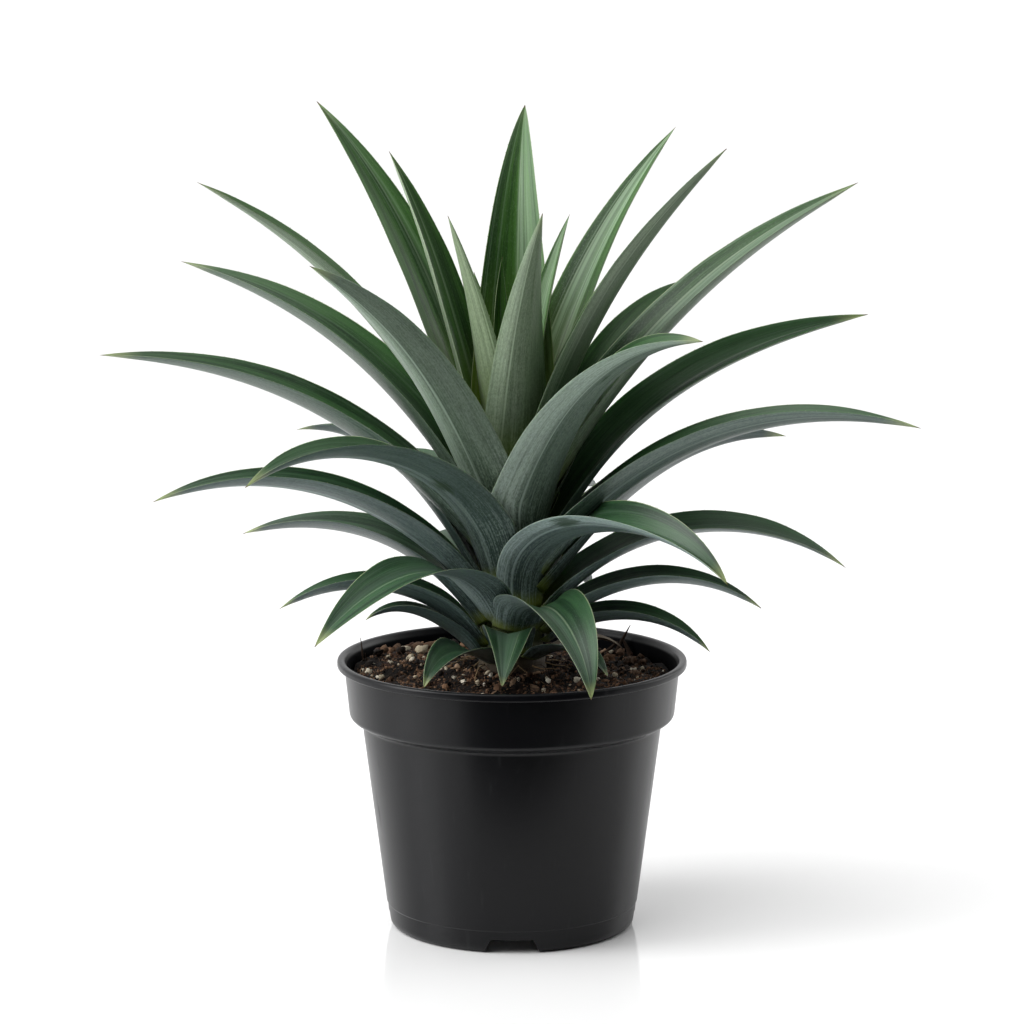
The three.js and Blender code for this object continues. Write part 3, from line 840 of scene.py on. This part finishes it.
# The rows of the part's source. Most of their numbers were made by a search against the photograph.
# Facing, root height, tip reach, tip height, slope at root and tip, width, fold, twist: millimetres, degrees
LEAF_ROWS = [
    (241, 132, 85, 133, 24, -54, 28, 30, -24), (312, 134, 68, 133, 30, -46, 22, 29, -2),
    (195, 134, 73, 154, 45, -32, 26, 34, 2), (100, 136, 80, 150, 48, -50, 30, 36, 0),
    (266, 137, 68, 132, 90, -58, 26, 27, -25), (188, 138, 113, 159, 53, -27, 34, 40, 0),
    (356, 140, 96, 136, 32, -42, 28, 42, 14), (59, 141, 78, 153, 46, -45, 32, 36, -4),
    (0, 144, 121, 156, 41, -33, 33, 36, 7), (120, 146, 96, 170, 52, -40, 36, 39, 0),
    (293, 147, 94, 130, 68, -75, 40, 34, 0), (168, 147, 135, 188, 55, -15, 44, 33, -5),
    (6, 150, 164, 173, 53, -35, 39, 29, 20), (232, 151, 146, 161, 60, -34, 35, 25, -26),
    (80, 152, 116, 186, 54, -30, 35, 38, 0), (189, 157, 173, 213, 53, -18, 38, 44, -10),
    (319, 158, 132, 184, 98, -45, 44, 46, 23), (63, 160, 94, 202, 55, -19, 38, 34, -6),
    (25, 162, 151, 231, 46, -6, 43, 42, -21), (128, 164, 102, 218, 58, -18, 38, 38, 0),
    (160, 166, 113, 238, 54, -10, 34, 43, 4), (218, 168, 155, 231, 78, -27, 46, 39, -4),
    (351, 170, 196, 249, 53, -10, 45, 41, 3), (20, 172, 188, 292, 65, 9, 41, 36, 32),
    (105, 174, 120, 242, 60, -10, 42, 38, 0), (180, 178, 198, 280, 52, 4, 46, 38, -10),
    (326, 182, 107, 294, 75, 5, 60, 40, 16), (70, 182, 122, 266, 62, -5, 42, 38, 0),
    (160, 190, 174, 319, 58, 16, 45, 45, -11), (226, 190, 132, 333, 63, 30, 43, 39, 24),
    (41, 190, 126, 308, 55, 9, 38, 37, 8), (112, 192, 112, 292, 66, 10, 42, 38, 0),
    (15, 197, 175, 359, 58, 28, 46, 39, 14), (82, 204, 92, 318, 72, 30, 40, 36, 0),
    (189, 205, 150, 365, 60, 30, 42, 34, -10), (359, 206, 102, 379, 74, 48, 44, 40, -7),
    (285, 207, 55, 353, 80, 61, 36, 38, 20), (144, 208, 119, 397, 65, 44, 38, 29, -25),
    (158, 210, 64, 376, 70, 64, 40, 35, -9), (49, 214, 125, 383, 69, 39, 33, 31, 0),
    (85, 218, 74, 395, 70, 37, 47, 41, -9), (215, 222, 37, 349, 76, 72, 31, 28, -12),
    (35, 222, 34, 346, 81, 68, 24, 35, 7), (122, 226, 35, 317, 84, 68, 16, 35, 0),
    (110, 230, 14, 326, 82, 106, 17, 42, -2),
]


def blade_tree():
    """One leaf along a curved keel. Each half turns up by a crease and curls on to its margin."""
    tree, size = new_tree("leaf blade", {
        "Root": "Vector", "Root Handle": "Vector", "Tip Handle": "Vector", "Tip": "Vector",
        "Aside": "Vector", "Width": "Float", "Root Width": "Float", "Clasp": "Float",
        "Fold": "Float", "Twist": "Float", "Keel Thickness": "Float", "Edge Thickness": "Float",
        "Edge Wave": "Float", "Stations": "Int", "Columns": "Int", "Chance": "Float", "Youth": "Float",
        "Spine Length": "Float", "Spine Pitch": "Float", "Pale And Lit Above": "Vector", "Pale And Lit Below": "Vector",
        "Scar": "Vector", "Material": "Material",
    })
    keel = add(tree, "GeometryNodeCurvePrimitiveBezierSegment", {
        "Resolution": 96, "Start": size["Root"], "Start Handle": size["Root Handle"],
        "End Handle": size["Tip Handle"], "End": size["Tip"],
    }, mode="POSITION")
    length = add(tree, "GeometryNodeCurveLength", (keel,))
    grid = add(tree, "GeometryNodeMeshGrid", {
        "Size X": 1, "Size Y": 1, "Vertices X": size["Stations"], "Vertices Y": size["Columns"],
    })
    spot = add(tree, "GeometryNodeInputPosition")
    round_blade = (part_of(spot, "Y") + 0.5) * math.tau
    marked = keep(grid, "OFBake", grid.of("UV Map"), "FLOAT2", "CORNER")
    for name, value in (
        ("share", part_of(spot, "X") + 0.5), ("across", cosine(round_blade) * -1),
        ("face", sine(round_blade)), ("lane", cosine(round_blade) * size["Width"] * -0.5),
        ("round", round_blade), ("chance", size["Chance"]), ("youth", size["Youth"]),
    ):
        marked = keep(marked, name, value)
    share, across, face, lane = (named(tree, name) for name in ("share", "across", "face", "lane"))

    along_keel = add(tree, "GeometryNodeSampleCurve", {"Curves": keel, "Factor": share}, mode="FACTOR")
    point = along_keel.of("Position")
    along = along_keel.of("Tangent")
    turned = size["Twist"] * smooth(TWIST_START, 1, share)
    aside = add(tree, "ShaderNodeVectorRotate", {"Vector": size["Aside"], "Axis": along, "Angle": turned})
    up = along.math("CROSS_PRODUCT", aside)

    taper = (1 - share * share) ** TAPER_POWER * TAPER_SCALE
    widened = blend(smooth(0, FULL_WIDTH_AT, share), size["Root Width"], size["Width"] * taper)
    breadth = widened.math("MAXIMUM", TIP_WIDTH)
    opened = smooth(0, FULLY_OPEN_AT, share)
    wrap = size["Root Width"] / size["Clasp"] * 0.5
    crease = size["Fold"] * (share * CREASE_GAIN + CREASE_SHARE) * opened
    curl = blend(opened, wrap, size["Fold"] * CURL_SHARE)
    side = abs(across)
    sign = across.math("SIGN")
    turn = crease + curl * side
    bend = breadth / curl * 0.5
    ripple = noise(tree, arrow(tree, share * length * 28, across, size["Chance"] * 40), 1, detail=1)
    wave = (ripple - 0.5) * side ** 3 * size["Edge Wave"] * smooth(0.15, 0.4, share)
    sideways = sign * bend * (sine(turn) - sine(crease))
    upwards = bend * (cosine(crease) - cosine(turn)) + wave
    extra = size["Keel Thickness"] - size["Edge Thickness"]
    thicken = extra * (1 - share * TIP_THINNING) * (1 - side * side)
    rounding = (1 - side ** 8).math("MAXIMUM", 0) ** 0.5
    ends = smooth(0, ROOT_BEVEL_SHARE, share) * ramp(TIP_WIDTH, FULL_THICKNESS_WIDTH, breadth)
    half = (size["Edge Thickness"] + thicken) * 0.5 * rounding * ends * face.math("SIGN")
    over = sideways - sign * sine(turn) * smooth(0, 0.08, side) * half
    lifted = upwards + cosine(turn) * half
    scar_share, scar_lane, scar_size = (part_of(size["Scar"], axis) for axis in "XYZ")
    off = arrow(tree, (share - scar_share) * length * 0.5, lane - scar_lane, 0)
    marked = keep(marked, "length", share * length)
    marked = keep(marked, "scar", 1 - length_of(off) / (scar_size + SAME_POINT))
    for name, value in (
        ("outward", aside * (sign * cosine(turn)) + up * sine(turn)), ("along", along),
        ("pale and lit above", size["Pale And Lit Above"]), ("pale and lit below", size["Pale And Lit Below"]),
    ):
        marked = keep(marked, name, value, "FLOAT_VECTOR")
    values = {"Geometry": marked, "Position": point + aside * over + up * lifted}
    shaped = add(tree, "GeometryNodeSetPosition", values)

    outermost = smooth(0.999, 0.9995, side) * (1 - smooth(6, 6.1, named(tree, "round")))
    margins = add(tree, "GeometryNodeMeshToCurve", {"Mesh": shaped, "Selection": above(outermost, 0.5)})
    values = {"Curve": margins, "Length": size["Spine Pitch"]}
    stops = add(tree, "GeometryNodeResampleCurve", values, mode="LENGTH")
    lean = named(tree, "outward", "FLOAT_VECTOR") + named(tree, "along", "FLOAT_VECTOR") * SPINE_LEAN
    growth = smooth(0.1, 0.3, share) * (1 - smooth(0.9, 0.97, share))
    spine = add(tree, "GeometryNodeMeshCone", {
        "Vertices": 5, "Radius Bottom": size["Spine Length"] * SPINE_THICKNESS_SHARE,
        "Depth": size["Spine Length"],
    })
    spines = add(tree, "GeometryNodeInstanceOnPoints", {
        "Points": stops, "Instance": spine,
        "Rotation": add(tree, "FunctionNodeAlignRotationToVector", {"Vector": lean}, axis="Z"),
        "Scale": arrow(tree, 1, 1, 1) * (chance(tree, 0.6, 1.2, 0) * growth),
        "Selection": above(growth, 0.1),
    })
    closed = add(tree, "GeometryNodeMergeByDistance", {"Geometry": shaped, "Distance": SAME_POINT})
    whole = add(tree, "GeometryNodeJoinGeometry")
    tree.links.new(closed.socket, whole.socket.node.inputs[0])
    tree.links.new(spines.socket, whole.socket.node.inputs[0])
    close_tree(add(tree, "GeometryNodeSetShadeSmooth", (whole,)), size["Material"])
    return tree


def above(value, level):
    """True where the value is over this level."""
    return add(value.tree, "FunctionNodeCompare", (value, level), operation="GREATER_THAN")


# The leaves' colours. A pair is for the oldest leaf and the youngest
BARE_GREEN = ((0.012, 0.027, 0.024, 1), (0.035, 0.066, 0.018, 1))
DULL_BLOOM = ((0.076, 0.114, 0.105, 1), (0.130, 0.190, 0.092, 1))
SILVER_BLOOM_AND_SHEEN = ((0.33, 0.42, 0.40, 1), (0.40, 0.50, 0.31, 1))
DARK_GREEN = ((0.007, 0.027, 0.010, 1), (0.008, 0.040, 0.003, 1))
FRESH_GREEN = ((0.034, 0.092, 0.036, 1), (0.046, 0.135, 0.016, 1))
PALE_GREEN = ((0.140, 0.215, 0.155, 1), (0.250, 0.370, 0.220, 1))
FOOT_YELLOW = ((0.20, 0.24, 0.012, 1), (0.24, 0.36, 0.04, 1))
# A painted highlight along the edge of the leaves' pale band.
HIGHLIGHT_LINE = (0.30, 0.40, 0.26, 1)
MARGIN_COLOUR = (0.36, 0.41, 0.25, 1)
TIP_YELLOW = (0.34, 0.38, 0.17, 1)
TIP_BROWN = (0.10, 0.06, 0.03, 1)
SCAR_COLOUR = (0.018, 0.040, 0.018, 1)


def leaf_skin():
    """Above, dark green with crisp parallel veins. Below, rows of silver scales over dark green, which
    part into dark streaks towards the foot. Each face has one pale band. The band is partly the leaf's own
    pale stripe and bloom, and partly painted light and sheen on the side that faces the lamps. A painted
    highlight line runs along its edge."""
    material, tree = new_material("pineapple leaf")
    share, across, face, lane, length, luck, youth, scar = (
        read(tree, name) for name in ("share", "across", "face", "lane", "length", "chance", "youth", "scar")
    )
    upper = smooth(-0.02, 0.02, face)
    own = luck * 40 + upper * 7

    def grain(per_metre_across, per_metre_along, detail, roughness=0.5):
        place = arrow(tree, lane * per_metre_across, length * per_metre_along, own)
        return noise(tree, place, 1, detail, roughness)

    fibres = grain(1300, 45, 2, 0.6)
    scales = grain(1500, 700, 2, 0.7)
    veins = grain(520, 4, 3, 0.6)
    bands = grain(170, 5, 2)
    clouds = grain(60, 22, 3)
    dusting = scales * 0.55 + fibres * 0.45
    streaks = fibres * 0.6 + scales * 0.4
    parted = 1 - smooth(0.04, 0.34, share + (bands - 0.5) * 0.2)

    bare, bloom, silver = (colour_mix(youth, *pair) for pair in (BARE_GREEN, DULL_BLOOM, SILVER_BLOOM_AND_SHEEN))
    # Lower face: the pale band is painted sheen and light on the side that faces the lamps, laid over the
    # leaf's real silver scales.
    strength, lit_band, line = pale_lit_band(tree, "pale and lit below", across + (bands - 0.5) * 0.3, 0.2)
    under = coated(
        bare,
        # The band's strength also brightens the bloom over the whole face, as painted light for each leaf.
        (smooth(0.20, 0.75, dusting) * (0.65 + 0.35 * strength), bloom),
        (strength * (0.15 + 0.70 * lit_band) * (0.5 + 0.5 * smooth(0.30, 0.65, dusting)), silver),
        (smooth(0.50, 0.59, streaks) * parted * 0.4, silver),
        # Inside the band the dark streaks are thinned, as painted light on the lit side.
        (smooth(0.50, 0.58, 1 - streaks) * parted * (0.7 - strength * lit_band * 0.45), bare),
        (smooth(0.54, 0.62, veins) * 0.25, bare),
        (smooth(0.66, 0.70, veins) * 0.2, silver),
        # Painted highlight: the light line along the band's edge, where the ridge catches the light.
        (line * strength * 0.6, silver),
    )
    dark, fresh, pale = (colour_mix(youth, *pair) for pair in (DARK_GREEN, FRESH_GREEN, PALE_GREEN))
    # Upper face: the pale band is partly the leaf's own pale stripe and partly painted light on the half that
    # faces the lamps.
    strength, lit_band, line = pale_lit_band(tree, "pale and lit above", across + (bands - 0.5) * 0.08, 0.05)
    top = coated(
        dark,
        (smooth(0.35, 0.65, fibres * 0.4 + bands * 0.6), fresh),
        # The band's strength also lifts the pale scales and veins, as painted light.
        (smooth(0.50, 0.75, scales) * (0.1 + strength * 0.2), pale),
        (smooth(0.56, 0.64, veins) * (0.1 + strength * 0.3), pale),
        (lit_band * strength * (0.45 + 0.45 * smooth(0.42, 0.52, veins)), pale),
        # Painted highlight: the light line at the band's edge, along the crease.
        (line * (0.15 + strength * 0.5), HIGHLIGHT_LINE),
    )
    foot = 1 - smooth(0.01, youth * youth * 0.55 + upper * 0.12 + 0.07, share + (fibres - 0.5) * 0.04)
    wound = smooth(0.25, 0.6, scar + (clouds - 0.5) * 2 + (fibres - 0.5) * 1.5)
    skin = coated(
        under,
        (upper, top),
        (foot * 0.65, colour_mix(youth, *FOOT_YELLOW)),
        (smooth(0.972, 0.990, abs(across)) * (0.75 - youth * 0.3) * (0.15 + 0.85 * upper), MARGIN_COLOUR),
        (smooth(0.90, 0.99, share) * (1 - youth) * 0.7, TIP_YELLOW),
        (smooth(0.982, 0.996, share), TIP_BROWN),
        (wound * 0.8, SCAR_COLOUR),
    )
    rough = blend(upper, 0.36 + clouds * 0.10, 0.32 + fibres * 0.14) + wound * 0.2
    height = fibres * 0.7 + veins * 0.6 + scales * 0.3
    ribs = add(tree, "ShaderNodeBump", {"Strength": 0.4, "Distance": 0.0004, "Height": height})
    finish_material(
        tree, Base_Color=skin, Roughness=rough, Normal=ribs,
        Subsurface_Weight=0.08, Subsurface_Radius=(0.5, 1.0, 0.2), Subsurface_Scale=0.002,
        Specular_IOR_Level=0.36,
    )
    return material


def coated(ground, *coats):
    """A colour with each coat over it in turn. A coat is how much of it there is, and its colour."""
    for amount, colour in coats:
        ground = colour_mix(amount, ground, colour)
    return ground


def pale_lit_band(tree, name, across, softness):
    """From a leaf's (strength, start, end) across it: the strength, the band of partly painted light, and the
    painted highlight line at its end.
    """
    strength, start, end = (
        part_of(add(tree, "ShaderNodeAttribute", attribute_name=name).of("Vector"), axis) for axis in "XYZ"
    )
    lit_band = ramp(0, softness, across - start) * ramp(0, softness, end - across)
    line = 1 - smooth(0.01, 0.045, abs(across - end))
    return strength, lit_band, line


def leaf_values(row):
    """The tree's sizes for one row, in metres and radians."""
    facing, root, reach, tip, rise, droop, width, fold, twist = row
    angle = math.radians(facing)
    rise, droop, fold, twist = (math.radians(value) for value in (rise, droop, fold, twist))
    root, reach, tip, width = (value / 1000 for value in (root, reach, tip, width))

    def place(radius, height):
        return Vector((math.cos(angle) * radius, math.sin(angle) * radius, height))

    start = place(stem_radius(root) + ROOT_CLEARANCE + KEEL_THICKNESS / 2 * math.sin(rise), root)
    end = place(reach, tip)
    span = (end - start).length
    clasp = stem_radius(root) + CLASP_ROOM
    return {
        "Root": start, "Tip": end, "Spine Pitch": SPINE_PITCH,
        "Root Handle": start + place(math.cos(rise), math.sin(rise)) * span * ROOT_HANDLE,
        "Tip Handle": end - place(math.cos(droop), math.sin(droop)) * span * TIP_HANDLE,
        "Aside": Vector((-math.sin(angle), math.cos(angle), 0)), "Width": width,
        "Root Width": min(width * ROOT_WIDTH_SHARE, 2 * LARGEST_WRAP * clasp), "Clasp": clasp,
        "Fold": fold, "Twist": twist, "Keel Thickness": KEEL_THICKNESS,
        "Edge Thickness": EDGE_THICKNESS, "Stations": BLADE_STATIONS, "Columns": BLADE_COLUMNS,
    }


# The pale band of the leaves' upper and lower faces: partly their own pale stripe and bloom, and partly
# painted light and sheen on the lit side. Each entry is the strength, then the band's start and end across
# the blade
USUAL_LIT_ABOVE = (0.05, -0.5, 0.0)
LIT_BAND_ABOVE = {
    3: (0.3, -0.5, 0.0), 5: (0.4, -0.5, 0.5), 11: (0.4, -0.4, 0.1), 14: (0.3, -0.5, 0.0),
    22: (0.2, -0.5, 0.0), 24: (0.1, -0.5, 0.1), 33: (0.8, -0.3, 0.45), 38: (0.2, -0.55, -0.35),
    39: (0.3, -0.4, -0.3), 40: (1.0, -0.3, 0.5), 41: (0.5, -1.2, 0.0), 42: (0.8, -0.5, 0.5),
    43: (0.7, -0.6, 0.6),
}
USUAL_LIT_BELOW = (0.2, -1.2, -0.3)
LIT_BAND_BELOW = {
    1: (0.5, -1.2, -0.3), 6: (0.4, -1.2, 0.0), 9: (0.3, -1.2, 0.0), 11: (0.45, -1.2, -0.3),
    14: (0.8, -1.2, 0.2), 16: (0.6, -1.2, 0.2), 17: (1.0, -1.2, -0.6), 22: (0.35, -1.2, 0.2),
    23: (0.4, -1.2, -0.5), 26: (0.5, -1.2, 0.0), 27: (1.0, -1.2, -0.5), 29: (0.6, -1.2, 0.2),
    30: (1.0, -1.2, 0.15), 35: (0.6, -1.2, 0.5), 36: (0.5, -1.2, -0.6), 37: (0.8, -1.2, -0.45),
    38: (0.0, -1.2, -0.3), 39: (1.0, -1.2, 1.2), 42: (0.7, -1.2, 0.8), 45: (1.0, 0.3, 1.2),
}
# Old scars on three lower faces: share along the blade, then place across it and size in metres
SCARS = {17: (0.40, -0.017, 0.006), 22: (0.36, 0.008, 0.006), 27: (0.66, -0.011, 0.005)}
one_blade = blade_tree()
skin_material = leaf_skin()
for number, row in enumerate(LEAF_ROWS, start=1):
    youth = max(number - LAST_OLD_LEAF, 0) / (len(LEAF_ROWS) - LAST_OLD_LEAF)
    leaf = grow(f"blade_{number:02d}", one_blade, {
        **leaf_values(row), "Edge Wave": EDGE_WAVE, "Chance": number * 0.618 % 1,
        "Youth": youth, "Spine Length": SPINE_LENGTH,
        "Pale And Lit Above": LIT_BAND_ABOVE.get(number, USUAL_LIT_ABOVE),
        "Pale And Lit Below": LIT_BAND_BELOW.get(number, USUAL_LIT_BELOW),
        "Scar": SCARS.get(number, (0.0, 0.0, 0.0)), "Material": skin_material,
    })
    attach(leaf, "root")
    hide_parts(f"leaf_{number:02d}")


# Dry leaf: one small dead leaf at the foot of the plant, shrunk to a brown, leathery ribbon.
DRY_LEAF_ROW = (24, 133, 60, 131, 18, -40, 9, 30, 0)
DRY_EDGE_WAVE = 0.004
DRY_SPINE_LENGTH = 0.0003
STRAW_BROWN = (0.42, 0.35, 0.27, 1)
UMBER = (0.12, 0.09, 0.06, 1)
LAST_GREEN = (0.12, 0.12, 0.075, 1)
SHRIVELLED_TIP = (0.05, 0.03, 0.015, 1)


def dead_skin():
    """Straw brown along the fibres, with patches that are still a dull green and a dark tip."""
    material, tree = new_material("dry leaf")
    share, across, length = (read(tree, name) for name in ("share", "across", "length"))
    fibre = noise(tree, arrow(tree, across * 9, length * 60, 0), 1, detail=3)
    patches = noise(tree, object_place(tree), 180)
    shade = coated(
        colour_mix(fibre, UMBER, STRAW_BROWN),
        (smooth(0.5, 0.7, patches) * 0.6, LAST_GREEN),
        (smooth(0.8, 1, share), SHRIVELLED_TIP),
    )
    relief = add(tree, "ShaderNodeBump", {"Strength": 0.7, "Distance": 0.0006, "Height": fibre})
    finish_material(tree, Base_Color=shade, Roughness=0.75, Normal=relief, Specular_IOR_Level=0.3)
    return material


dry_leaf = grow("dry_blade", one_blade, {
    **leaf_values(DRY_LEAF_ROW), "Edge Wave": DRY_EDGE_WAVE, "Chance": 0.37,
    "Youth": 0.0, "Spine Length": DRY_SPINE_LENGTH, "Material": dead_skin(),
})
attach(dry_leaf, "root")
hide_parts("dry_leaf")


# Floor: a wide sheet of white gloss acrylic, which mirrors the pot faintly. It is not part of the plant.
FLOOR_REACH = 60


def staged_sheet(name, corners, **finish):
    """A flat sheet of one plain material that belongs to the studio."""
    mesh = bpy.data.meshes.new(name)
    mesh.from_pydata(corners, [], [(0, 1, 2, 3)])
    material, tree = new_material(name)
    finish_material(tree, **finish)
    mesh.materials.append(material)
    sheet = bpy.data.objects.new(name, mesh)
    bpy.context.scene.collection.objects.link(sheet)
    return sheet


staged_sheet(
    "floor", [(x * FLOOR_REACH, y * FLOOR_REACH, 0) for x, y in ((-1, -1), (1, -1), (1, 1), (-1, 1))],
    Base_Color=(0.82, 0.82, 0.82, 1), Roughness=0.10, Specular_IOR_Level=0.75,
)


# Lights: one very broad soft sun from the left front, a soft box at the left for the sheen of the leaves, a
# weak one at the right back, and a white room that is dark behind the camera. A black flag in front of the
# pot is seen in reflections alone, so that black plastic stays black.
AIM_HEIGHT = 0.2
FLAG_LEFT = -0.1
FLAG_RIGHT = 0.4
FLAG_FRONT = -0.18
FLAG_TOP = 0.5
DARK_END_BRIGHTNESS = 0.08
BACKDROP_BRIGHTNESS = 1.05


def lamp(name, kind, place, power, **sizes):
    """A light of this kind, aimed at the middle of the plant."""
    light = bpy.data.lights.new(name, kind)
    light.energy = power
    for size, value in sizes.items():
        setattr(light, size, value)
    holder = bpy.data.objects.new(name, light)
    bpy.context.scene.collection.objects.link(holder)
    holder.location = place
    aim = Vector((0, 0, AIM_HEIGHT)) - Vector(place)
    holder.rotation_euler = aim.to_track_quat("-Z", "Y").to_euler()


lamp("key", "SUN", (-1.25, -0.75, 2.4), 2.6, angle=math.radians(60))
lamp("sheen", "AREA", (-1.5, -0.4, 0.9), 22, shape="RECTANGLE", size=0.8, size_y=1.4)
lamp("rim", "AREA", (1.6, 0.9, 0.9), 6, shape="RECTANGLE", size=0.8, size_y=1.2)

flag_corners = ((FLAG_LEFT, 0), (FLAG_RIGHT, 0), (FLAG_RIGHT, FLAG_TOP), (FLAG_LEFT, FLAG_TOP))
flag = staged_sheet(
    "flag", [(x, FLAG_FRONT, z) for x, z in flag_corners],
    Base_Color=(0, 0, 0, 1), Roughness=1.0, Specular_IOR_Level=0.0,
)
for sight in ("camera", "diffuse", "transmission", "shadow", "volume_scatter"):
    setattr(flag, "visible_" + sight, False)

world = bpy.data.worlds.new("studio")
bpy.context.scene.world = world
world.use_nodes = True
room = world.node_tree
room.nodes.clear()
direction = add(room, "ShaderNodeTexCoord").of("Generated")
lit = smooth(-0.75, 0.25, part_of(direction, "Y"))
brightness = DARK_END_BRIGHTNESS + (1 - DARK_END_BRIGHTNESS) * lit
seen = add(room, "ShaderNodeLightPath").of("Is Camera Ray")
strength = blend(seen, brightness, BACKDROP_BRIGHTNESS)
backdrop = add(room, "ShaderNodeBackground", {"Color": (1, 1, 1, 1), "Strength": strength})
room_end = room.nodes.new("ShaderNodeOutputWorld")
room.links.new(backdrop.socket, room_end.inputs["Surface"])
bpy.context.scene.view_settings.view_transform = "Standard"
